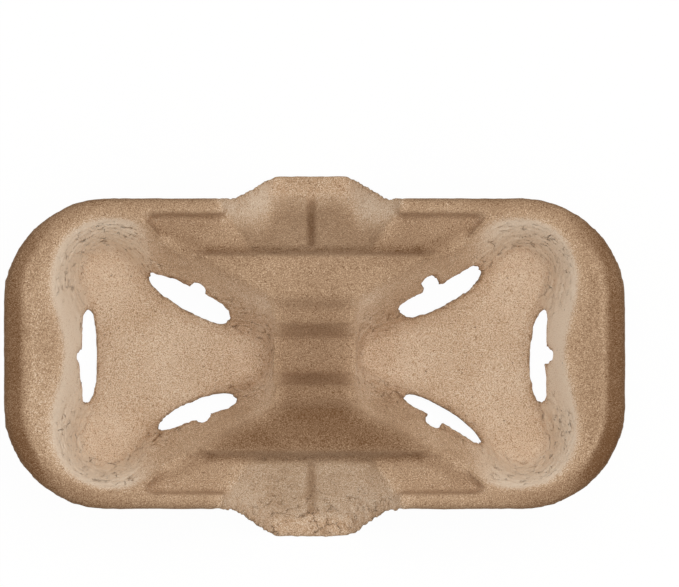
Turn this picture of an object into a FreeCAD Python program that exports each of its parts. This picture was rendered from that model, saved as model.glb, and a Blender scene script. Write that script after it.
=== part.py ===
import FreeCAD, Part
import math
import os
from collections import namedtuple

# A two-cup carrier of moulded paper pulp, pressed as one sheet.
# Frame: X along the length, Y across, Z up. The origin is the middle of the
# underside, on the plane that the cup floors and the ear feet stand on.
# Every hollow is a pocket. The same pocket, grown by the wall, makes its outside.

Vector = FreeCAD.Vector

# Overall sizes, in millimetres
BODY_LENGTH = 220.0
BODY_WIDTH = 110.0
BODY_HEIGHT = 45.0
CORNER_RADIUS = 37.4
WALL = 1.8

# The lip that hangs down all round, and the rounded shoulder above it
LIP_DEPTH = 6.0
END_SHOULDER = 6.9
SIDE_SHOULDER = 2.4
# Each step: share of the lip's depth, share of the shoulder's width
SHOULDER_STEPS = ((0.0, 0.0), (0.32, 0.06), (0.65, 0.14), (0.84, 0.28), (0.95, 0.52), (1.0, 1.0))

# The two cup wells: how far each level stands in from the body's edges
END_DECK = 16.4
SIDE_DECK = 6.2
BRIDGE_WIDTH = 22.6
FLOOR_IN_END = 12.4
FLOOR_IN_SIDE = 11.6
FLOOR_IN_BRIDGE = 5.7
KERB_IN_END = 9.6
KERB_IN_SIDE = 9.5
KERB_IN_BRIDGE = 4.5
KERB_HEIGHT = 3.9
MOUTH_ROUND = 2.6
WELL_DRAFT = 24.0

# Half outlines of one well: share of its length out from the bridge, share of its
# half width. They run from the end bulge round the lobe and along the diagonal
# bulge to the bridge, with point for point the same place on each level.
FLOOR_SHAPE = ((0.88, 0.0), (0.90, 0.32), (0.985, 0.64), (1.0, 0.79), (0.965, 0.91), (0.90, 0.985),
               (0.84, 1.0), (0.785, 0.885), (0.68, 0.55), (0.48, 0.325), (0.25, 0.205),
               (0.06, 0.14), (0.01, 0.08), (0.0, 0.0))
KERB_SHAPE = ((0.897, 0.0), (0.92, 0.33), (0.98, 0.61), (1.0, 0.776), (0.963, 0.916), (0.89, 0.992),
              (0.81, 1.0), (0.72, 0.895), (0.597, 0.60), (0.413, 0.395), (0.208, 0.275),
              (0.047, 0.183), (0.006, 0.092), (0.0, 0.0))
MOUTH_SHAPE = ((0.947, 0.0), (0.972, 0.225), (1.0, 0.43), (0.996, 0.635), (0.956, 0.81), (0.871, 0.943),
               (0.78, 0.996), (0.665, 1.0), (0.543, 0.926), (0.33, 0.721), (0.13, 0.533),
               (0.018, 0.40), (0.0, 0.205), (0.0, 0.0))

# The sunk deck along each long side, behind the narrow bead of the rim
SIDE_BEAD = 6.5
SUNK_DEPTH = 8.0
SUNK_HALF = 59.0
SUNK_INNER_HALF = 50.0
SUNK_END_SLOPE = 3.0
BEAD_SLOPE = 1.0

# The bridge between the wells, and the stepped saddle across it
CREASE_PLACE = 36.0
RISER_RUN = 2.0
BRIDGE_DROP = 2.0
BRIDGE_REACH = 45.0
# Each corner of the saddle: distance from its middle, drop below the bridge's top
SADDLE_STEPS = ((20.0, 0.7), (15.6, 6.4), (11.2, 7.2), (5.8, 19.6))

# The ears: open chutes that stand on a foot outside each long side
EAR_MIDDLE = -1.2
EAR_REACH = 64.4
FOOT_HALF = 13.4
FOOT_LENGTH = 7.0
FLANK_START = 2.0
FACE_TOP_HALF = 21.0
FLANK_DECK_HALF = 29.4
FLANK_DECK_PLACE = 48.5
FLANK_RIM_HALF = 31.6
FLANK_RIM_PLACE = 51.4
EAR_ROOT_HALF = 30.6
FOOT_CORNER = 1.2
EAR_DRAFT = 26.0

# The groove down the middle of each ear's face
GROOVE_HALF = 2.0
GROOVE_DEPTH = 1.4

# Straight runs in each span of a well's outline, and facets up its wall
SPAN_STEPS = 2
WALL_STEPS = 3

# How far the cutting tools run past what they cut
PAST = 1.0

HALF_LENGTH = BODY_LENGTH / 2
HALF_WIDTH = BODY_WIDTH / 2
LIP_BOTTOM = BODY_HEIGHT - LIP_DEPTH
SUNK_DECK = BODY_HEIGHT - SUNK_DEPTH
BRIDGE_TOP = BODY_HEIGHT - BRIDGE_DROP
CUT_TOP = BODY_HEIGHT + PAST

# One cut-out in the wall of a bulge, which grips the cup. The place is a share of the
# well's length and half width, the turn is in degrees and the rest in millimetres.
# A blunt end has a high number and a pointed one a low number.
Slot = namedtuple("Slot", "side along across turn length width bow start end nub_at nub_reach nub_width")
SLOTS = (
    Slot(-1, 0.84, 0.00, -91.0, 34.5, 5.1, 0.5, 2.2, 2.6, 1.0, 1.3, 4.6),
    Slot(-1, 0.403, 0.424, -27.8, 32.6, 7.6, 0.5, 1.7, 5.0, 1.7, 2.4, 5.3),
    Slot(-1, 0.367, -0.422, 20.8, 29.7, 6.4, 1.5, 2.6, 6.0, 1.3, 2.2, 5.0),
    Slot(1, 0.399, 0.473, 27.8, 32.0, 6.8, 2.0, 6.0, 5.0, -1.9, 4.4, 5.0),
    Slot(1, 0.411, -0.463, -31.4, 31.8, 4.6, 1.4, 6.0, 3.0, -2.4, 3.4, 5.2),
    Slot(1, 0.847, 0.00, -91.5, 33.3, 4.9, 2.1, 4.0, 5.0, 0.0, 2.7, 4.7),
)
SLOT_STEPS = 9
NUB_ROUND = 1.7


def side_growth(draft, wall):
    """How far a wall of this thickness grows sideways when its floor drops by it."""
    slope = math.radians(draft)
    return wall * (1 - math.sin(slope)) / math.cos(slope)


def grown(points, distance):
    """A closed outline, anticlockwise, moved outwards by the distance."""
    moved = []
    for before, here, after in zip(points[-1:] + points[:-1], points, points[1:] + points[:1]):
        first = Vector(here[1] - before[1], before[0] - here[0], 0).normalize()
        second = Vector(after[1] - here[1], here[0] - after[0], 0).normalize()
        shift = (first + second) * (distance / (1 + first.dot(second)))
        moved.append((here[0] + shift.x, here[1] + shift.y))
    return moved


def straight_wire(points, height):
    """A closed wire of straight edges at a height."""
    return Part.makePolygon([Vector(x, y, height) for x, y in points + points[:1]])


def rounded(points):
    """A closed outline with more points between the given ones, on a smooth curve."""
    curve = Part.BSplineCurve()
    curve.interpolate(Points=[Vector(x, y, 0) for x, y in points], PeriodicFlag=True)
    knots = curve.getKnots()
    curved = []
    for first, last in zip(knots, knots[1:]):
        for step in range(SPAN_STEPS):
            place = curve.value(first + (last - first) * step / SPAN_STEPS)
            curved.append((place.x, place.y))
    return curved


def ruled_solid(wires):
    """A solid with ruled walls from each wire up to the next."""
    return Part.makeLoft(wires, True, True)


def facet(corners):
    return Part.Face(Part.makePolygon(corners + corners[:1]))


def faceted_solid(levels):
    """A solid of flat facets through outlines that have point for point the same places."""
    rings = [[Vector(x, y, height) for x, y in points] for points, height in levels]
    faces = [facet(rings[0][::-1]), facet(rings[-1])]
    for low, high in zip(rings, rings[1:]):
        for here, (low_a, high_a) in enumerate(zip(low, high), 1):
            low_b = low[here % len(low)]
            high_b = high[here % len(high)]
            if (low_a - high_b).Length < (low_b - high_a).Length:
                faces += [facet([low_a, low_b, high_b]), facet([low_a, high_b, high_a])]
            else:
                faces += [facet([low_a, low_b, high_a]), facet([low_b, high_b, high_a])]
    return Part.Solid(Part.Shell(faces))


def across_y(shape):
    """The same shape on the other long side."""
    return shape.mirror(Vector(0, 0, 0), Vector(0, 1, 0))


def body_wire(end_inset, side_inset, height):
    """The body's rounded rectangle, drawn in from its ends and its sides."""
    half_x = HALF_LENGTH - end_inset
    half_y = HALF_WIDTH - side_inset
    radius = CORNER_RADIUS - (end_inset + side_inset) / 2
    diagonal = radius * math.sqrt(0.5)
    edges = []
    for turn in range(4):
        sign_x = (1, -1, -1, 1)[turn]
        sign_y = (1, 1, -1, -1)[turn]
        middle = Vector(sign_x * (half_x - radius), sign_y * (half_y - radius), height)
        at_end = middle + Vector(sign_x * radius, 0, 0)
        at_side = middle + Vector(0, sign_y * radius, 0)
        halfway = middle + Vector(sign_x * diagonal, sign_y * diagonal, 0)
        first, last = (at_end, at_side) if turn % 2 == 0 else (at_side, at_end)
        edges.append((first, halfway, last))
    wire = []
    for arc, following in zip(edges, edges[1:] + edges[:1]):
        wire.append(Part.Arc(*arc).toShape())
        wire.append(Part.LineSegment(arc[2], following[0]).toShape())
    return Part.Wire(wire)


def shoulder_solid(inset, drop, base):
    """The rim's rounded block, from a base height up to the deck."""
    wires = [body_wire(inset, inset, base)]
    for depth_share, width_share in SHOULDER_STEPS:
        height = LIP_BOTTOM + LIP_DEPTH * depth_share - drop
        end_inset = inset + END_SHOULDER * width_share
        side_inset = inset + SIDE_SHOULDER * width_share
        wires.append(body_wire(end_inset, side_inset, height))
    return ruled_solid(wires)


def rim_shell():
    """The deck, its shoulder and the lip, hollow from below."""
    block = shoulder_solid(0, 0, LIP_BOTTOM - PAST)
    below = Part.makeBox(BODY_LENGTH, BODY_WIDTH, PAST, Vector(-HALF_LENGTH, -HALF_WIDTH, LIP_BOTTOM - PAST))
    hollow = shoulder_solid(WALL, WALL, LIP_BOTTOM - WALL - PAST)
    return block.cut(below).cut(hollow)


def well_outline(shape, inner, outer, half_width):
    """A well's closed outline on the +X side, from its half outline in shares."""
    half = [(inner + along * (outer - inner), across * half_width) for along, across in shape]
    return rounded(half + [(x, -y) for x, y in half[-2:0:-1]])


def well_frame(end_in, side_in, bridge_in):
    """Inner X, outer X and half width of a well's level, in from its mouth."""
    return (BRIDGE_WIDTH / 2 + bridge_in, HALF_LENGTH - END_DECK - end_in, HALF_WIDTH - SIDE_DECK - side_in)


def well_pocket(wall):
    """The hollow that holds one cup: floor, kerb, drafted wall and rounded mouth."""
    out = side_growth(WELL_DRAFT, wall)
    floor = well_outline(FLOOR_SHAPE, *well_frame(FLOOR_IN_END, FLOOR_IN_SIDE, FLOOR_IN_BRIDGE))
    kerb = well_outline(KERB_SHAPE, *well_frame(KERB_IN_END, KERB_IN_SIDE, KERB_IN_BRIDGE))
    mouth = well_outline(MOUTH_SHAPE, *well_frame(0, 0, 0))
    neck = grown(mouth, -MOUTH_ROUND * math.tan(math.radians((90 - WELL_DRAFT) / 2)))
    kerb_top = WALL + KERB_HEIGHT
    neck_bottom = BODY_HEIGHT - MOUTH_ROUND
    levels = [(floor, WALL), (kerb, kerb_top)]
    for step in range(1, WALL_STEPS):
        share = step / WALL_STEPS
        between = [(x + (neck_x - x) * share, y + (neck_y - y) * share)
                   for (x, y), (neck_x, neck_y) in zip(kerb, neck)]
        levels.append((between, kerb_top + (neck_bottom - kerb_top) * share))
    levels += [(neck, neck_bottom), (mouth, BODY_HEIGHT), (mouth, CUT_TOP + wall)]
    return faceted_solid([(grown(points, out), height - wall) for points, height in levels])


def sunk_pocket(wall):
    """The sunk deck behind the bead of one long side."""
    out = side_growth(math.degrees(math.atan2(RISER_RUN, SUNK_DEPTH)), wall)
    bead_line = HALF_WIDTH - SIDE_BEAD
    rise = (CUT_TOP - SUNK_DECK) / SUNK_DEPTH
    floor = [(-SUNK_INNER_HALF, CREASE_PLACE), (SUNK_INNER_HALF, CREASE_PLACE),
             (SUNK_HALF, bead_line), (-SUNK_HALF, bead_line)]
    crease_top = CREASE_PLACE - RISER_RUN * rise
    bead_top = bead_line + BEAD_SLOPE * rise
    end_top = SUNK_HALF + SUNK_END_SLOPE * rise
    top = [(-SUNK_INNER_HALF, crease_top), (SUNK_INNER_HALF, crease_top), (end_top, bead_top), (-end_top, bead_top)]
    return ruled_solid([
        straight_wire(grown(floor, out), SUNK_DECK - wall),
        straight_wire(grown(top, out), CUT_TOP - wall),
    ])


def bridge_pocket(wall):
    """The low top of the bridge with the stepped saddle across its middle."""
    crease = (CREASE_PLACE - RISER_RUN * (BRIDGE_TOP - SUNK_DECK) / SUNK_DEPTH, BRIDGE_TOP)
    side = [(crease[0], CUT_TOP + wall), crease]
    side += [(place, BRIDGE_TOP - drop) for place, drop in SADDLE_STEPS]
    profile = [(-y, z) for y, z in side] + [(y, z) for y, z in reversed(side)]
    points = [Vector(-BRIDGE_REACH, y, z) for y, z in grown(profile, wall)]
    face = Part.Face(Part.makePolygon(points + points[:1]))
    return face.extrude(Vector(2 * BRIDGE_REACH, 0, 0))


def ear_pocket(wall):
    """The open chute of one ear: foot, sloping face and two flanks."""
    out = side_growth(EAR_DRAFT, wall)
    beyond = EAR_REACH + WALL + PAST
    face_foot = EAR_REACH - FOOT_LENGTH

    def level(face_half, face_place, flank_half, flank_place, height):
        corners = [(-face_half, face_place), (face_half, face_place), (flank_half, flank_place),
                   (flank_half, beyond), (-flank_half, beyond), (-flank_half, flank_place)]
        return straight_wire(grown([(x + EAR_MIDDLE, y) for x, y in corners], out), height)

    rim_face = FACE_TOP_HALF + FLANK_RIM_HALF - FLANK_DECK_HALF
    return ruled_solid([
        level(FOOT_HALF, face_foot, FOOT_HALF + PAST / 4, face_foot + FLANK_START, WALL - wall),
        level(FACE_TOP_HALF, CREASE_PLACE, FLANK_DECK_HALF, FLANK_DECK_PLACE, SUNK_DECK - wall),
        level(rim_face, CREASE_PLACE, FLANK_RIM_HALF, FLANK_RIM_PLACE, CUT_TOP),
    ])


def groove_pocket(wall):
    """The shallow groove down the middle of one ear's face."""
    face_foot = EAR_REACH - FOOT_LENGTH
    slope = math.atan2(SUNK_DECK - WALL, face_foot - CREASE_PLACE)
    sunk_y = GROOVE_DEPTH / math.sin(slope)
    profile = [(face_foot - sunk_y, WALL), (face_foot + PAST, WALL),
               (CREASE_PLACE + PAST, SUNK_DECK + PAST), (CREASE_PLACE - sunk_y, SUNK_DECK)]
    half = GROOVE_HALF + side_growth(0, wall)
    points = [Vector(EAR_MIDDLE - half, y, z) for y, z in grown(profile, wall)]
    return Part.Face(Part.makePolygon(points + points[:1])).extrude(Vector(2 * half, 0, 0))


def slot_cutter(slot):
    """An upright cutter for one cut-out, with the nub in the middle of its outer side."""
    inner, outer, half_width = well_frame(0, 0, 0)
    middle = Vector(slot.side * (inner + slot.along * (outer - inner)), slot.across * half_width, WALL)
    run = Vector(math.cos(math.radians(slot.turn)), math.sin(math.radians(slot.turn)), 0)
    inwards = Vector(-run.y, run.x, 0)
    if inwards.dot(Vector(slot.side * (inner + outer) / 2, 0, WALL) - middle) < 0:
        inwards = inwards * -1

    def edge_point(angle):
        share = -math.cos(angle)
        end = slot.start if share < 0 else slot.end
        half = slot.width / 2 * math.sqrt(max(0.0, 1 - abs(share) ** end))
        offset = slot.bow * (1 - share ** 2) + math.copysign(half, math.sin(angle))
        return middle + run * (share * slot.length / 2) + inwards * offset

    edge = [edge_point(math.pi * step / SLOT_STEPS) for step in range(-SLOT_STEPS, SLOT_STEPS)]
    up = Vector(0, 0, CUT_TOP - WALL)
    band = Part.Face(Part.makePolygon(edge + edge[:1])).extrude(up)

    root = middle + run * slot.nub_at + inwards * slot.bow
    half_nub = run * (slot.nub_width / 2)
    reach = inwards * -(slot.width / 2 + slot.nub_reach)
    corners = [root - half_nub, root + half_nub, root + half_nub + reach, root - half_nub + reach]
    nub = Part.Face(Part.makePolygon(corners + corners[:1])).extrude(up)
    tip = root + reach
    tip_edges = [edge for edge in nub.Edges
                 if abs(edge.tangentAt(edge.FirstParameter).z) > 0.9
                 and abs((edge.CenterOfMass - tip).dot(inwards)) < NUB_ROUND]
    return band.fuse(nub.makeFillet(NUB_ROUND, tip_edges))


def plan_envelope():
    """The tray's outer limits: the body's rounded block and the two ears' blocks."""
    body = shoulder_solid(0, 0, 0)
    root_place = HALF_WIDTH - SIDE_SHOULDER
    corners = [(-EAR_ROOT_HALF, 0), (EAR_ROOT_HALF, 0), (EAR_ROOT_HALF, root_place),
               (FOOT_HALF + FOOT_CORNER, EAR_REACH - FOOT_CORNER), (FOOT_HALF - FOOT_CORNER, EAR_REACH),
               (FOOT_CORNER - FOOT_HALF, EAR_REACH), (-FOOT_HALF - FOOT_CORNER, EAR_REACH - FOOT_CORNER),
               (-EAR_ROOT_HALF, root_place)]
    outline = straight_wire([(x + EAR_MIDDLE, y) for x, y in corners], 0)
    ear = Part.Face(outline).extrude(Vector(0, 0, BODY_HEIGHT - SIDE_SHOULDER))
    return body.fuse([ear, across_y(ear)])


def pockets(wall):
    """Every hollow of the tray, grown by a wall or not at all."""
    well = well_pocket(wall)
    sunk = sunk_pocket(wall)
    ear = ear_pocket(wall)
    groove = groove_pocket(wall)
    return [well, well.mirror(Vector(0, 0, 0), Vector(1, 0, 0)), bridge_pocket(wall), sunk, across_y(sunk),
            ear, across_y(ear), groove, across_y(groove)]


def carrier_tray():
    """The whole carrier, one moulded sheet."""
    outside = rim_shell().fuse(pockets(WALL))
    sheet = outside.cut(pockets(0)).common(plan_envelope())
    return sheet.cut([slot_cutter(slot) for slot in SLOTS]).removeSplitter()


os.makedirs("parts", exist_ok=True)
tray = carrier_tray()
tray.exportStep("parts/carrier_tray.step")
box = tray.BoundBox
print("carrier_tray: solids", len(tray.Solids), "valid", tray.isValid(), "volume", round(tray.Volume))
print("box", [round(v, 2) for v in (box.XMin, box.XMax, box.YMin, box.YMax, box.ZMin, box.ZMax)])
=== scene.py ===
"""Dresses a two-cup carrier in moulded paper pulp, on a plain pale stage."""

import math

import bmesh
import bpy
from bpy.props import FloatProperty, FloatVectorProperty, IntProperty, PointerProperty
from mathutils import Matrix, Vector, noise


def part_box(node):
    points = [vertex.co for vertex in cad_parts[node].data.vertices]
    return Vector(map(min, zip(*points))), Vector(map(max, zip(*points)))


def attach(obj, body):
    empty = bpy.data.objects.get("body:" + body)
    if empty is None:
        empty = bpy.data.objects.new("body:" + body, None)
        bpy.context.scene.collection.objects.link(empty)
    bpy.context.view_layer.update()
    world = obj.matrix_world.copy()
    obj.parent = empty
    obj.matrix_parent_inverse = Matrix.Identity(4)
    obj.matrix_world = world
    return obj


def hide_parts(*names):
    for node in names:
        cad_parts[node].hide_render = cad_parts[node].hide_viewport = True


bl_info = {
    "name": "Moulded pulp cup carrier",
    "version": (1, 0, 0),
    "blender": (4, 5, 0),
    "location": "View3D > Sidebar > Cup carrier",
    "description": "Moulded pulp finish, stage, lamp and camera for a two-cup carrier",
    "category": "Object",
}

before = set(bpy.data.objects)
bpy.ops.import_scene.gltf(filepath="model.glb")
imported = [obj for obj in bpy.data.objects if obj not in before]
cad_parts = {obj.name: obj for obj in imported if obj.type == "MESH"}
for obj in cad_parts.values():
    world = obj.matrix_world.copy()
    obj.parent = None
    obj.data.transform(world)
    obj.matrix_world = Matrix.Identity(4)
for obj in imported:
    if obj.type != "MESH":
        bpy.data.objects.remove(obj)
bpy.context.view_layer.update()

MM = 0.001
TRAY_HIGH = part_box("carrier_tray")[1]
HALF_LENGTH = TRAY_HIGH.x
HEIGHT = TRAY_HIGH.z

# The body's own half width and corners in plan: the ears stand out past it
HALF_WIDTH = 55 * MM
CORNER_RADIUS = 37.4 * MM
# How far out each end of the bridge is creased, and half its width at the saddle
CREASE_PLACE = 36 * MM
BRIDGE_HALF = 11.3 * MM
# How far the middle of each well lies from the middle of the tray
WELL_MIDDLE = 52.5 * MM
# The ears: their middle, which lies a little left, where they start, and how they widen outwards
EAR_MIDDLE = -1.2 * MM
EAR_START = 37 * MM
EAR_START_HALF = 21 * MM
EAR_SPREAD = 0.73
# Lines seen from above, from end to end, where painted shade and highlights run. The tear is in one place,
# the folds in all four quarters
TEAR = (Vector((-54.9, -27.5)) * MM, Vector((-57.2, -30.2)) * MM)
CREASE = (Vector((0, 36.6)) * MM, Vector((37, 36.6)) * MM)
SLANT = (Vector((37, 36.6)) * MM, Vector((54, 44)) * MM)
POCKET_END = (Vector((59, 49)) * MM, Vector((51, 41)) * MM)
RISER = (Vector((31, 48.8)) * MM, Vector((57, 48.8)) * MM)
# How far inside the rim the painted highlight round the two ends lies
BEAD_PLACE = 7.6 * MM

# Noise scales, per metre: 75 gives forms about 13 mm long, and 700 about 1.4 mm
LUMP_SCALE = 75
SMALL_LUMP_SCALE = 190
FELT_SCALE = 700
WRINKLE_SCALE = Vector((210, 210, 300))
TORN_SCALE = 160
FINE_TORN_SCALE = 620
# Without a seed the vector noise starts from the clock, and each run tears the edges otherwise
NOISE_SEED = 1

# Tone of the plain pulp, where 0 is brown, 0.5 tan and 1 the palest
PLAIN_TONE = 0.57


def linear(hex_colour):
    """An sRGB hex colour as linear red, green, blue and alpha."""
    shares = [int(hex_colour[place:place + 2], 16) / 255 for place in (1, 3, 5)]
    return [s / 12.92 if s <= 0.04045 else ((s + 0.055) / 1.055) ** 2.4 for s in shares] + [1.0]


def ramp(low, high, value):
    """0 below low, 1 above high, smooth between. It falls where high is under low."""
    share = min(1.0, max(0.0, (value - low) / (high - low)))
    return share * share * (3 - 2 * share)


def bump_at(value, middle, reach):
    """1 at the middle, falling smoothly to 0 at the reach."""
    return ramp(reach, 0.0, abs(value - middle))


def add_node(tree, kind, settings=None, links=None):
    """A node with its attributes or input values set, and its inputs linked."""
    node = tree.nodes.new(kind)
    for name, value in (settings or {}).items():
        if isinstance(name, str) and hasattr(node, name):
            setattr(node, name, value)
        else:
            node.inputs[name].default_value = value
    for name, socket in (links or {}).items():
        tree.links.new(socket, node.inputs[name])
    return node


def new_material(name):
    material = bpy.data.materials.new(name)
    material.use_nodes = True
    material.node_tree.nodes.clear()
    return material, material.node_tree


class PulpSettings(bpy.types.PropertyGroup):
    """Form and colour of the pulp sheet"""
    cell: FloatProperty(name="Mesh cell", description="Edge length of the sheet's mesh",
                        default=1.1 * MM, subtype="DISTANCE", precision=5)
    softening: IntProperty(name="Softening", description="Passes that round the moulded folds", default=6)
    tone_turns: IntProperty(name="Tone softening", description="Passes that even out the broad tones",
                            default=22)
    lump: FloatProperty(name="Lumps", description="Height of the broad unevenness",
                        default=0.22 * MM, subtype="DISTANCE", precision=5)
    bark: FloatProperty(name="Wrinkles", description="Height of the wrinkles on the drawn outer walls",
                        default=1.2 * MM, subtype="DISTANCE", precision=5)
    felt: FloatProperty(name="Felt", description="Height of the matted fibre surface",
                        default=0.07 * MM, subtype="DISTANCE", precision=5)
    groove: FloatProperty(name="Groove", description="Depth of the groove down each ear",
                          default=0.7 * MM, subtype="DISTANCE", precision=5)
    ragged: FloatProperty(name="Ragged edge", description="How far torn edges wander",
                          default=0.45 * MM, subtype="DISTANCE", precision=5)
    # The brown end of the tones also carries the painted shade on the lip, in the folds, grooves, tear and
    # cracks
    brown: FloatVectorProperty(name="Brown", description="Darkest pulp, on the lip and in the folds",
                               default=linear("#6e4c2f"), size=4, subtype="COLOR", min=0, max=1)
    tan: FloatVectorProperty(name="Tan", description="Plain pulp", default=linear("#ab8b6d"),
                             size=4, subtype="COLOR", min=0, max=1)
    # The pale end of the tones also carries the painted light on the well floors, the walls facing into the
    # wells and the ears
    pale: FloatVectorProperty(name="Pale", description="Pale pulp, on the floors of the wells",
                              default=linear("#d5b493"), size=4, subtype="COLOR", min=0, max=1)
    palest: FloatVectorProperty(name="Palest", description="Palest and greyest pulp, on the drawn walls",
                                default=linear("#f2dfc8"), size=4, subtype="COLOR", min=0, max=1)
    fibre_dark: FloatVectorProperty(name="Dark fibre", description="Colour of the dark fibres and specks",
                                    default=linear("#6b4c35"), size=4, subtype="COLOR", min=0, max=1)


class StageSettings(bpy.types.PropertyGroup):
    """Floor, lamp and camera"""
    floor: FloatVectorProperty(name="Floor", description="Colour of the floor", default=linear("#b4b2af"),
                               size=4, subtype="COLOR", min=0, max=1)
    sky: FloatProperty(name="Sky", description="Strength of the even light from all round", default=0.76)
    lamp: FloatProperty(name="Lamp", description="Power of the soft overhead lamp", default=2.2,
                        subtype="POWER")
    distance: FloatProperty(name="Camera distance", description="From the lens to the rim",
                            default=6.0, subtype="DISTANCE")
    tilt: FloatProperty(name="Camera tilt", description="Lean of the camera towards the front ear",
                        default=math.radians(1.5), subtype="ANGLE")


def ear_share(place):
    """1 on the two ears, from the crease out to the foot, and 0 on the body."""
    out = abs(place.y)
    aside = abs(place.x - EAR_MIDDLE)
    half = EAR_START_HALF + EAR_SPREAD * (out - EAR_START)
    return ramp(EAR_START, EAR_START + 2.5 * MM, out) * ramp(half + 1.5 * MM, half - MM, aside)


def rim_distance(place):
    """How far inside the body's rounded outline a point lies."""
    corner_x = abs(place.x) - (HALF_LENGTH - CORNER_RADIUS)
    corner_y = abs(place.y) - (HALF_WIDTH - CORNER_RADIUS)
    if corner_x > 0 and corner_y > 0:
        return CORNER_RADIUS - math.hypot(corner_x, corner_y)
    return min(HALF_LENGTH - abs(place.x), HALF_WIDTH - abs(place.y))


def towards_cup(place, normal):
    """How much a face looks level towards the middle of its own well: 1 fully, -1 away."""
    way = Vector((math.copysign(WELL_MIDDLE, place.x) - place.x, -place.y))
    return normal.xy.dot(way) / max(way.length, MM)


def lobe_share(place):
    """1 round the four outer lobes of the wells, where the pulp was drawn furthest."""
    return ramp(12 * MM, 26 * MM, abs(place.y)) * ramp(55 * MM, 70 * MM, abs(place.x))


def wrinkle_share(place, normal):
    """Where the drawn pulp is wrinkled: outer walls, lobes and the front ear, from 0 to 1."""
    steep = ramp(0.2, 0.55, 1 - abs(normal.z))
    lobe = lobe_share(place)
    inward = towards_cup(place, normal)
    below = ramp(HEIGHT - 2 * MM, HEIGHT - 9 * MM, place.z)
    outside = steep * ramp(0.1, 0.4, -inward) * below * (0.3 + 0.7 * lobe)
    inside = 0.75 * steep * ramp(0.1, 0.4, inward) * below * lobe
    ear = ear_share(place) * (0.12 + 0.3 * ramp(40 * MM, 58 * MM, -place.y))
    cut = 0.45 * steep * ramp(0.1, 0.4, inward) * ramp(30 * MM, 20 * MM, place.z)
    return max(outside * (1 - ear_share(place)), inside, ear, cut * (1 - ear_share(place)))


def wrinkle_height(place):
    """Crumpled ridges 3 to 5 mm apart, from -0.5 in a crevice to 0.5 on a ridge."""
    spread = place * WRINKLE_SCALE
    folds = 1 - 2 * abs(noise.noise(spread))
    fine = 1 - 2 * abs(noise.noise(spread * 2.3 + Vector((7, 3, 1))))
    return 0.65 * folds + 0.35 * fine - 0.5


def shape_offset(place, normal, settings):
    """How far the pulp stands out or in along its normal at a point."""
    steep = 1 - abs(normal.z)
    lump = noise.noise(place * LUMP_SCALE) * 0.6 + noise.noise(place * SMALL_LUMP_SCALE) * 0.4
    felt = noise.noise(place * FELT_SCALE)
    wrinkle = wrinkle_share(place, normal) * wrinkle_height(place)
    sunk = settings.groove * ramp(0.0, 0.2, normal.z) * (groove_share(place) + tear_share(place))
    return (settings.lump * lump * (0.35 + 0.65 * steep) + settings.felt * felt
            + settings.bark * wrinkle - sunk)


def groove_share(place):
    """1 along the groove that runs down the middle of each ear."""
    line = bump_at(place.x, EAR_MIDDLE, 2.0 * MM) * ramp(1.5 * MM, 3.5 * MM, place.z)
    return ear_share(place) * line


def near_line(place, line, reach):
    """1 on a straight line seen from above, falling to 0 at the reach."""
    start, end = line
    along = (end - start).normalized()
    way = place.xy - start
    share = min((end - start).length, max(0.0, way.dot(along)))
    return ramp(reach, 0.0, (way - along * share).length)


def tear_share(place):
    """1 along the hairline tear at the tip of the left front cut-out."""
    return near_line(place, TEAR, 0.75 * MM) * ramp(30 * MM, 20 * MM, place.z)


def edge_wander(place, settings):
    """Sideways and upward drift of a torn edge."""
    coarse = noise.noise_vector(place * TORN_SCALE)
    fine = noise.noise_vector(place * FINE_TORN_SCALE + Vector((5, 9, 2)))
    # The mould tore the lip where each ear leaves it
    torn = bump_at(abs(place.y), HALF_WIDTH, 4 * MM) * bump_at(abs(place.x - EAR_MIDDLE), 31 * MM, 5 * MM)
    return (coarse * 0.5 + fine * 0.5) * settings.ragged * (1 + 1.6 * torn)


def well_tone_and_painted_light(place, normal):
    """Paler in the wells, partly paler drawn pulp and partly painted light: the walls facing into each well
    and the floors are painted paler, most on the lobes and ends, less on the walls with the long cut-outs.
    """
    steep = ramp(0.25, 0.7, 1 - abs(normal.z)) * ramp(0.0, 0.25, towards_cup(place, normal))
    along = abs(place.x)
    # Painted shade on the walls at the front beside the bridge
    shade = 0.1 * ramp(-8 * MM, -18 * MM, place.y) * ramp(44 * MM, 34 * MM, along)
    wall = steep * (0.24 + 0.42 * ramp(50 * MM, 74 * MM, along) + 0.12 * ramp(26 * MM, 18 * MM, along)
                    + 0.12 * lobe_share(place) - shade)
    low = (0.31 + 0.09 * lobe_share(place)) * ramp(12 * MM, 5 * MM, place.z)
    body = ramp(BRIDGE_HALF - MM, BRIDGE_HALF + 2 * MM, along) * ramp(4 * MM, 9 * MM, rim_distance(place))
    return body * max(wall, low)


def lip_painted_light_and_shade(place):
    """Painted shade on the rolled lip, most of all round the two ends, and on the four corners, most at the
    front; painted light on the deck inside the left end and painted shade inside the right end.
    """
    edge = rim_distance(place)
    end = ramp(86 * MM, 104 * MM, abs(place.x)) * (1 - 0.4 * ramp(14 * MM, 32 * MM, place.y))
    band = ramp(0.3 * MM, 1.5 * MM, edge) * ramp((4 + 5 * end) * MM, (2 + 3.5 * end) * MM, edge)
    deck = end * ramp(8 * MM, 11 * MM, edge)
    corner = ramp(60 * MM, 80 * MM, abs(place.x)) * ramp(20 * MM, 36 * MM, abs(place.y))
    corner *= ramp(9 * MM, 5 * MM, edge)
    right = 1 if place.x > 0 else 0
    front = ramp(0, -20 * MM, place.y)
    return (-band * (0.06 + 0.32 * end + 0.04 * right * end) + deck * (0.17 - 0.23 * right)
            - corner * (0.03 + 0.1 * front))


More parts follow.
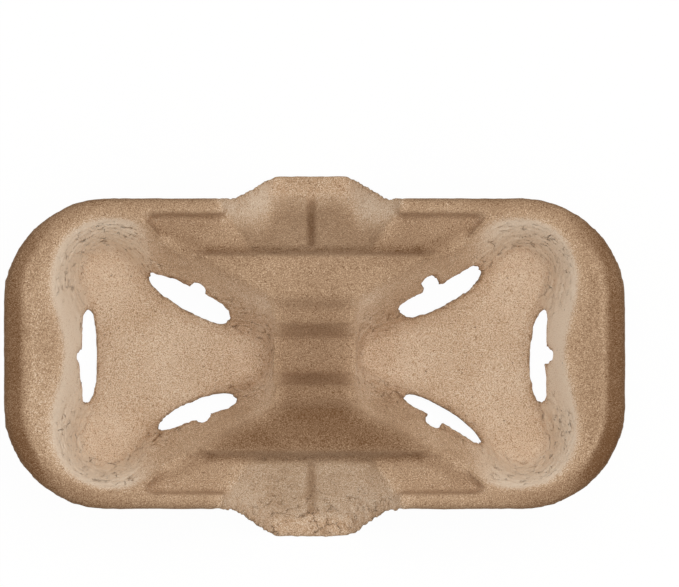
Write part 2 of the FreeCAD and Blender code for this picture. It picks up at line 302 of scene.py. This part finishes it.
def bridge_painted_shade(place, normal):
    """Painted shade on the bridge between the wells: its front half is painted the darkest flat part, and
    the saddle darker, most towards the front.
    """
    out = abs(place.x) - BRIDGE_HALF
    top = ramp(0.6, 0.9, normal.z) * ramp(39 * MM, 41 * MM, place.z) * ramp(34 * MM, 20 * MM, out)
    across = ramp(-10 * MM, -15 * MM, place.y) * ramp(-CREASE_PLACE - MM, -CREASE_PLACE + MM, place.y)
    saddle = ramp(3 * MM, 0, out) * ramp(23 * MM, 21 * MM, abs(place.y))
    return -0.35 * top * across - saddle * (0.04 + 0.13 * ramp(-3 * MM, -9 * MM, place.y))


def fold_painted_light_and_shade(place):
    """Painted shade in narrow dark lines along the folds, the riser and the rim's outer edge, and painted
    highlights on the pale line inside the lip and along the pocket ends.
    """
    quarter = Vector((abs(place.x), abs(place.y), place.z))
    crease = near_line(quarter, CREASE, 2.6 * MM)
    slant = near_line(quarter, SLANT, 3.4 * MM)
    pocket_end = near_line(quarter, POCKET_END, 4 * MM)
    bead = bump_at(rim_distance(place), BEAD_PLACE, 1.6 * MM) * ramp(84 * MM, 100 * MM, quarter.x)
    riser = near_line(quarter, RISER, 2 * MM) * (1 - ear_share(place))
    rim = ramp(1.8 * MM, 0.6 * MM, rim_distance(place)) * (1 - ear_share(place))
    high = ramp(28 * MM, 34 * MM, place.z)
    return high * (-0.13 * rim + 0.07 * pocket_end + 0.08 * bead - 0.2 * crease - 0.12 * slant - 0.1 * riser)


def ear_painted_light(place, normal):
    """Painted light on the ears: the flanks and the feet are painted paler, and the whole of the front one.
    """
    flank = ramp(0.2, 0.45, abs(normal.x)) * ramp(8 * MM, 14 * MM, abs(place.x - EAR_MIDDLE))
    flank *= ramp(40 * MM, 52 * MM, abs(place.y))
    foot = ramp(15 * MM, 2 * MM, place.z)
    front = ramp(0, -MM, place.y)
    return ear_share(place) * (0.23 * front + (0.42 - 0.33 * front) * max(flank, 0.5 * foot))


def broad_tone_and_painted_light(place, normal):
    """Broad tone at a point: 0 brown, 0.5 tan, 1 the palest. On the upper faces it carries painted light and
    shade as well as the pulp's own tone.
    """
    upper = ramp(-0.15, 0.15, normal.z)
    ear = ear_share(place)
    body = well_tone_and_painted_light(place, normal) + bridge_painted_shade(place, normal)
    front = ramp(0, -MM, place.y)
    # Painted light: the sunk decks are painted a little paler, most at the front
    sunk = ramp(37 * MM, 39 * MM, abs(place.y)) * ramp(60 * MM, 54 * MM, abs(place.x)) * (1 - ear)
    return PLAIN_TONE + upper * (body + ear_painted_light(place, normal) + sunk * (0.03 + 0.05 * front))


def narrow_painted_light_and_shade(place, normal):
    """Narrow painted shade and highlights: along the folds and the lip, in the grooves and the tear, and on
    the wrinkles.
    """
    upper = ramp(-0.15, 0.15, normal.z)
    front = ramp(0, -MM, place.y)
    lip = lip_painted_light_and_shade(place) * (1 - ear_share(place))
    # Painted shade in the ear grooves and the tear, which are painted darker
    lines = lip + fold_painted_light_and_shade(place) - (0.34 - 0.12 * front) * groove_share(place) - 0.5 * tear_share(place)
    # Painted shade and highlight on the wrinkles: darker in the crevices, paler on the ridges
    return upper * lines + 0.34 * wrinkle_share(place, normal) * wrinkle_height(place)


def softened(sheet, values, turns):
    """Values on the corners of the mesh, each evened out with its neighbours a number of times."""
    near = [[edge.other_vert(vert).index for edge in vert.link_edges] for vert in sheet.verts]
    for _ in range(turns):
        values = [0.4 * value + 0.6 * sum(values[other] for other in others) / len(others)
                  for value, others in zip(values, near)]
    return values


class CARRIER_OT_pulp_tray(bpy.types.Operator):
    """The carrier's sheet: the moulded form with its lumps, wrinkles, torn edges and tones, with painted
    light and shade in the tones
    """
    bl_idname = "carrier.pulp_tray"
    bl_label = "Pulp tray"

    def execute(self, context):
        settings = context.scene.carrier_pulp
        tray = moulded_sheet(settings)
        rough_up(tray.data, settings)
        tray.data.materials.append(pulp_material(settings))
        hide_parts("carrier_tray")
        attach(tray, "root")
        return {"FINISHED"}


def moulded_sheet(settings):
    """The tray as one even mesh over the frame's own solid."""
    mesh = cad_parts["carrier_tray"].data.copy()
    mesh.materials.clear()
    solid = bmesh.new()
    solid.from_mesh(mesh)
    bmesh.ops.remove_doubles(solid, verts=solid.verts, dist=0.001 * MM)
    solid.to_mesh(mesh)
    solid.free()
    tray = bpy.data.objects.new("pulp_tray", mesh)
    bpy.context.scene.collection.objects.link(tray)
    remesh = tray.modifiers.new("even cells", "REMESH")
    remesh.mode = "VOXEL"
    remesh.voxel_size = settings.cell
    remesh.use_smooth_shade = True
    evaluated = tray.evaluated_get(bpy.context.evaluated_depsgraph_get())
    even = bpy.data.meshes.new_from_object(evaluated)
    tray.modifiers.clear()
    tray.data = even
    bpy.data.meshes.remove(mesh)
    return tray


def rough_up(mesh, settings):
    """Softens the folds, then raises the lumps and wrinkles and wanders the torn edges."""
    noise.seed_set(NOISE_SEED)
    sheet = bmesh.new()
    sheet.from_mesh(mesh)
    for turn in range(settings.softening):
        sheet.normal_update()
        # The first pass takes off the cells' steps, the others leave the sheet's cut edges full
        soft = [vert for vert in sheet.verts if turn == 0 or edge_share(vert) < 0.5]
        bmesh.ops.smooth_vert(sheet, verts=soft, factor=0.5,
                              use_axis_x=True, use_axis_y=True, use_axis_z=True)
    sheet.normal_update()
    tone_layer = sheet.verts.layers.float.new("tone")
    wrinkle_layer = sheet.verts.layers.float.new("wrinkle")
    sheet.verts.index_update()
    # The tone holds the pulp's own tone with the painted light and shade
    broad = softened(sheet, [broad_tone_and_painted_light(vert.co, vert.normal) for vert in sheet.verts], settings.tone_turns)
    for vert, tone in zip(sheet.verts, broad):
        # The rounded cut edge is painted 0.22 darker, as painted shade where the sheet turns over
        vert[tone_layer] = tone + narrow_painted_light_and_shade(vert.co, vert.normal) - 0.22 * edge_share(vert)
        vert[wrinkle_layer] = wrinkle_share(vert.co, vert.normal)
    moves = [vert.normal * shape_offset(vert.co, vert.normal, settings)
             + edge_wander(vert.co, settings) * edge_share(vert) for vert in sheet.verts]
    for vert, move in zip(sheet.verts, moves):
        vert.co += move
        vert.co.z = max(0.0, vert.co.z)
    for face in sheet.faces:
        face.smooth = True
    sheet.to_mesh(mesh)
    sheet.free()


def edge_share(vert):
    """1 on the rounded cut edge of the sheet, where the surface turns over, and 0 elsewhere."""
    turn = 1 - min(vert.normal.dot(edge.other_vert(vert).normal) for edge in vert.link_edges)
    return ramp(0.25, 0.6, turn)


def pulp_material(settings):
    """Moulded recycled paper pulp, vacuum formed and dried: matt, felted, specked with fibres."""
    material, tree = new_material("moulded_recycled_pulp")
    place = add_node(tree, "ShaderNodeTexCoord").outputs["Object"]
    # The tone attribute holds the pulp's own tone together with its painted light and shade
    tone = add_node(tree, "ShaderNodeAttribute", {"attribute_name": "tone"}).outputs["Fac"]
    wrinkle = add_node(tree, "ShaderNodeAttribute", {"attribute_name": "wrinkle"}).outputs["Fac"]

    def shifted(tone, pattern, low, high, dark, light):
        """The tone, moved from dark to light as a pattern goes from low to high."""
        move = add_node(tree, "ShaderNodeMapRange",
                        {"From Min": low, "From Max": high, "To Min": dark, "To Max": light},
                        {"Value": pattern})
        return add_node(tree, "ShaderNodeMath", {"operation": "ADD"},
                        {0: tone, 1: move.outputs["Result"]}).outputs[0]

    # Cloudy change of tone over 15 to 40 mm, from uneven drying
    clouds = add_node(tree, "ShaderNodeTexNoise", {"Scale": 45, "Detail": 3, "Roughness": 0.55},
                      {"Vector": place})
    tone = shifted(tone, clouds.outputs["Fac"], 0.3, 0.7, -0.06, 0.06)
    # Felted speckle about 0.4 mm across, coarser than the real fibres, as it needs to show
    felt = add_node(tree, "ShaderNodeTexNoise", {"Scale": 2700, "Detail": 2, "Roughness": 0.7},
                    {"Vector": place})
    tone = shifted(tone, felt.outputs["Fac"], 0.3, 0.7, -0.42, 0.3)
    # Short fibres 0.5 mm wide and 3 mm long, lying three ways, some dark and some pale
    for turn, seed in ((0.3, 0.0), (1.4, 0.37), (2.5, 0.81)):
        lie = add_node(tree, "ShaderNodeMapping",
                       {"vector_type": "TEXTURE", "Location": (seed, seed, seed),
                        "Rotation": (0.5, 0.4, turn), "Scale": (3.2 * MM, 0.55 * MM, 0.55 * MM)},
                       {"Vector": place})
        strands = add_node(tree, "ShaderNodeTexNoise", {"Scale": 1.0, "Detail": 1},
                           {"Vector": lie.outputs["Vector"]})
        tone = shifted(tone, strands.outputs["Fac"], 0.66, 0.75, 0.0, -0.26)
        tone = shifted(tone, strands.outputs["Fac"], 0.31, 0.24, 0.0, 0.12)
    # Cracks and crevices about 5 mm apart where the sheet was drawn and wrinkled
    warp = add_node(tree, "ShaderNodeTexNoise", {"Scale": 260, "Detail": 3, "Roughness": 0.6},
                    {"Vector": place})
    bend = add_node(tree, "ShaderNodeVectorMath", {"operation": "MULTIPLY_ADD", 1: (6 * MM, 6 * MM, 6 * MM)},
                    {0: warp.outputs["Color"], 2: place})
    cells = add_node(tree, "ShaderNodeTexVoronoi", {"feature": "DISTANCE_TO_EDGE", "Scale": 210},
                     {"Vector": bend.outputs["Vector"]})
    crack = add_node(tree, "ShaderNodeMapRange",
                     {"From Min": 0.0, "From Max": 0.055, "To Min": 1.0, "To Max": 0.0},
                     {"Value": cells.outputs["Distance"]})
    # Only some of the cells' borders open into cracks
    broken = add_node(tree, "ShaderNodeMapRange", {"From Min": 0.5, "From Max": 0.62},
                      {"Value": warp.outputs["Fac"]})
    opened = add_node(tree, "ShaderNodeMath", {"operation": "MULTIPLY"},
                      {0: crack.outputs["Result"], 1: broken.outputs["Result"]})
    depth = add_node(tree, "ShaderNodeMath", {"operation": "MULTIPLY"}, {0: opened.outputs[0], 1: wrinkle})
    # The cracks are painted darker, as painted shade in them
    tone = shifted(tone, depth.outputs[0], 0.0, 0.6, 0.0, -0.32)
    blend = add_node(tree, "ShaderNodeValToRGB", {}, {"Fac": tone})
    blend.color_ramp.elements[0].color = settings.brown
    blend.color_ramp.elements[1].color = settings.palest
    blend.color_ramp.elements.new(0.5).color = settings.tan
    blend.color_ramp.elements.new(0.8).color = settings.pale
    # Dark specks of bark and ink, about 0.5 mm, some 6 mm apart
    specks = add_node(tree, "ShaderNodeTexVoronoi", {"Scale": 170, "Randomness": 1.0}, {"Vector": place})
    speck = add_node(tree, "ShaderNodeMapRange",
                     {"From Min": 0.075, "From Max": 0.035, "To Min": 0.0, "To Max": 0.6},
                     {"Value": specks.outputs["Distance"]})
    colour = add_node(tree, "ShaderNodeMix", {"data_type": "RGBA", "B": settings.fibre_dark},
                      {"Factor": speck.outputs["Result"], "A": blend.outputs["Color"]})
    # Matted fibres about 0.5 mm apart, as relief too shallow for the mesh
    grain = add_node(tree, "ShaderNodeTexNoise", {"Scale": 2000, "Detail": 2, "Roughness": 0.7},
                     {"Vector": place})
    felted = add_node(tree, "ShaderNodeBump", {"Strength": 1.0, "Distance": 0.4 * MM},
                      {"Height": grain.outputs["Fac"]})
    # Crumpled folds finer than the mesh can hold, on the wrinkled places only
    folds = add_node(tree, "ShaderNodeTexNoise", {"Scale": 330, "Detail": 4, "Roughness": 0.6},
                     {"Vector": place})
    fold_height = add_node(tree, "ShaderNodeMath", {"operation": "MULTIPLY"},
                           {0: folds.outputs["Fac"], 1: wrinkle})
    total = add_node(tree, "ShaderNodeMath", {"operation": "SUBTRACT"},
                     {0: fold_height.outputs[0], 1: depth.outputs[0]})
    relief = add_node(tree, "ShaderNodeBump", {"Strength": 1.0, "Distance": 1.0 * MM},
                      {"Height": total.outputs[0], "Normal": felted.outputs["Normal"]})
    pulp = add_node(tree, "ShaderNodeBsdfPrincipled",
                    {"Roughness": 0.95, "IOR": 1.45, "Specular IOR Level": 0.15},
                    {"Base Color": colour.outputs["Result"], "Normal": relief.outputs["Normal"]})
    add_node(tree, "ShaderNodeOutputMaterial", {}, {"Surface": pulp.outputs["BSDF"]})
    return material


class CARRIER_OT_stage(bpy.types.Operator):
    """Floor, world, overhead lamp and the camera above the carrier"""
    bl_idname = "carrier.stage"
    bl_label = "Stage"

    def execute(self, context):
        settings = context.scene.carrier_stage
        floor = make_floor(settings)
        light_stage(settings)
        place_camera(settings)
        context.scene.view_settings.view_transform = "Standard"
        return {"FINISHED"}


# The floor reaches this far each way, just under the carrier
FLOOR_REACH = 4.0
FLOOR_DROP = 0.3 * MM
# How bright the floor looks, and how much of that is glow rather than lit paper
FLOOR_GLOW = 1.05
GLOW_SHARE = 0.92
LAMP_PLACE = Vector((0.16, 0.12, 0.88))
LAMP_WIDTH = 0.5
# What the middle of the picture shows at the rim's height, and the picture's width there
VIEW_MIDDLE = Vector((8.8, 21.1, 45)) * MM
VIEW_WIDTH = 239.0 * MM
# The sensor is given in millimetres, as Blender has it
SENSOR_WIDTH = 36.0
CLIP_END = 50.0


def make_floor(settings):
    """A flat white paper floor, matt. It looks white to the camera and keeps a faint shadow."""
    sheet = bmesh.new()
    bmesh.ops.create_grid(sheet, x_segments=1, y_segments=1, size=FLOOR_REACH)
    bmesh.ops.translate(sheet, verts=sheet.verts, vec=(0, 0, -FLOOR_DROP))
    mesh = bpy.data.meshes.new("floor")
    sheet.to_mesh(mesh)
    sheet.free()
    material, tree = new_material("white_paper_floor")
    path = add_node(tree, "ShaderNodeLightPath")
    seen = add_node(tree, "ShaderNodeMath", {"operation": "MAXIMUM"},
                    {0: path.outputs["Is Camera Ray"], 1: path.outputs["Is Glossy Ray"]})
    seen_all = add_node(tree, "ShaderNodeMath", {"operation": "MAXIMUM"},
                        {0: seen.outputs[0], 1: path.outputs["Is Transmission Ray"]})
    share = add_node(tree, "ShaderNodeMath", {"operation": "MULTIPLY", 1: GLOW_SHARE},
                     {0: seen_all.outputs[0]})
    paper = add_node(tree, "ShaderNodeBsdfDiffuse", {"Color": settings.floor})
    glow = add_node(tree, "ShaderNodeEmission", {"Color": (1, 1, 1, 1), "Strength": FLOOR_GLOW})
    mix = add_node(tree, "ShaderNodeMixShader", {},
                   {0: share.outputs[0], 1: paper.outputs[0], 2: glow.outputs[0]})
    add_node(tree, "ShaderNodeOutputMaterial", {}, {"Surface": mix.outputs[0]})
    mesh.materials.append(material)
    floor = bpy.data.objects.new("floor", mesh)
    bpy.context.scene.collection.objects.link(floor)
    return floor


def light_stage(settings):
    """An even white sky and one large soft lamp overhead."""
    world = bpy.data.worlds.new("studio")
    bpy.context.scene.world = world
    world.use_nodes = True
    tree = world.node_tree
    tree.nodes.clear()
    path = add_node(tree, "ShaderNodeLightPath")
    strength = add_node(tree, "ShaderNodeMapRange", {"To Min": settings.sky, "To Max": 1.0},
                        {"Value": path.outputs["Is Camera Ray"]})
    sky = add_node(tree, "ShaderNodeBackground", {"Color": (1, 1, 1, 1)},
                   {"Strength": strength.outputs["Result"]})
    add_node(tree, "ShaderNodeOutputWorld", {}, {"Surface": sky.outputs[0]})
    lamp = bpy.data.lights.new("overhead", "AREA")
    lamp.shape = "DISK"
    lamp.size = LAMP_WIDTH
    lamp.energy = settings.lamp
    holder = bpy.data.objects.new("overhead", lamp)
    aim = (-LAMP_PLACE).to_track_quat("-Z", "Y").to_matrix().to_4x4()
    holder.matrix_world = Matrix.Translation(LAMP_PLACE) @ aim
    bpy.context.scene.collection.objects.link(holder)


def place_camera(settings):
    """A long lens high over the carrier, leaning a little from the front."""
    data = bpy.data.cameras.new("camera")
    data.sensor_width = SENSOR_WIDTH
    data.lens = SENSOR_WIDTH * settings.distance / VIEW_WIDTH
    data.clip_end = CLIP_END
    camera = bpy.data.objects.new("camera", data)
    back = Vector((0, -math.sin(settings.tilt), math.cos(settings.tilt)))
    camera.location = VIEW_MIDDLE + back * settings.distance
    camera.rotation_euler = (settings.tilt, 0, 0)
    bpy.context.scene.collection.objects.link(camera)
    bpy.context.scene.camera = camera


class CARRIER_PT_panel(bpy.types.Panel):
    """Sizes, colours and steps of the carrier"""
    bl_label = "Cup carrier"
    bl_idname = "CARRIER_PT_panel"
    bl_space_type = "VIEW_3D"
    bl_region_type = "UI"
    bl_category = "Cup carrier"

    def draw(self, context):
        for group in (context.scene.carrier_pulp, context.scene.carrier_stage):
            for name in group.__annotations__:
                self.layout.prop(group, name)
        self.layout.operator(CARRIER_OT_pulp_tray.bl_idname)
        self.layout.operator(CARRIER_OT_stage.bl_idname)


CLASSES = (PulpSettings, StageSettings, CARRIER_OT_pulp_tray, CARRIER_OT_stage, CARRIER_PT_panel)


def register():
    for cls in CLASSES:
        bpy.utils.register_class(cls)
    bpy.types.Scene.carrier_pulp = PointerProperty(type=PulpSettings)
    bpy.types.Scene.carrier_stage = PointerProperty(type=StageSettings)


def unregister():
    del bpy.types.Scene.carrier_stage
    del bpy.types.Scene.carrier_pulp
    for cls in reversed(CLASSES):
        bpy.utils.unregister_class(cls)


def main():
    """Builds the carrier and its stage."""
    register()
    bpy.ops.carrier.pulp_tray()
    bpy.ops.carrier.stage()


if __name__ == "__main__":
    main()
